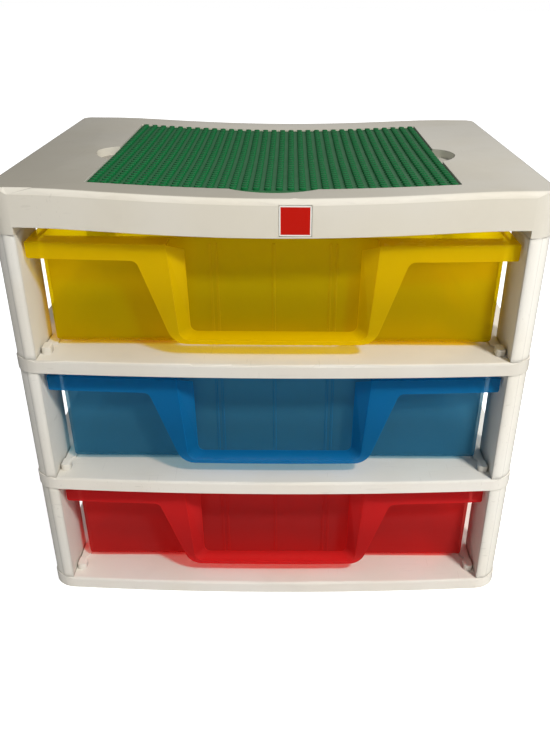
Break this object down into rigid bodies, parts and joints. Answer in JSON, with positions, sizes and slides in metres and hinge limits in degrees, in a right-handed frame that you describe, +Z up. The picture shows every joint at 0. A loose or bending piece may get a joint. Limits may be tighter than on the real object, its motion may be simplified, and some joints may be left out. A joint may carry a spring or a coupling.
{
  "type": "brick shaped storage drawers",
  "caption": "Desktop craft organizer: a bow-fronted frame on hollow posts, with pull-out see-through drawers and a studded building plate on top.",
  "frame": {"origin": "middle of the footprint, on the floor", "axes": "+X to the right across the front, +Y from the front to the back, +Z up"},
  "size_m": [0.385, 0.3286, 0.3315],
  "materials": {
    "frame_plastic": "satin moulded off-white",
    "plate_plastic": "glossy moulded green",
    "badge_plastic": "glossy red with a pale border, blank",
    "yellow_plastic": "glossy, slightly see-through",
    "blue_plastic": "glossy, slightly see-through",
    "red_plastic": "glossy, slightly see-through"
  },
  "bodies": {
    "frame": {"top_panel": "frame_plastic", "blank_badge": "badge_plastic", "upper_shelf": "frame_plastic", "lower_shelf": "frame_plastic", "base_shelf": "frame_plastic", "upper_front_left_post": "frame_plastic", "upper_front_right_post": "frame_plastic", "upper_rear_left_post": "frame_plastic", "upper_rear_right_post": "frame_plastic", "middle_front_left_post": "frame_plastic", "middle_front_right_post": "frame_plastic", "middle_rear_left_post": "frame_plastic", "middle_rear_right_post": "frame_plastic", "lower_front_left_post": "frame_plastic", "lower_front_right_post": "frame_plastic", "lower_rear_left_post": "frame_plastic", "lower_rear_right_post": "frame_plastic"},
    "plate": {"building_plate": "plate_plastic"},
    "upper_drawer": {"yellow_drawer": "yellow_plastic"},
    "middle_drawer": {"blue_drawer": "blue_plastic"},
    "lower_drawer": {"red_drawer": "red_plastic"}
  },
  "joints": [
    {"name": "yellow_slide", "type": "slide", "parent": "frame", "child": "upper_drawer", "axis": [0, -1, 0], "range_m": [0, 0.2]},
    {"name": "blue_slide", "type": "slide", "parent": "frame", "child": "middle_drawer", "axis": [0, -1, 0], "range_m": [0, 0.2]},
    {"name": "red_slide", "type": "slide", "parent": "frame", "child": "lower_drawer", "axis": [0, -1, 0], "range_m": [0, 0.2]},
    {"name": "plate_lift", "type": "slide", "parent": "frame", "child": "plate", "axis": [0, 0, 1], "range_m": [0, 0.03]}
  ]
}
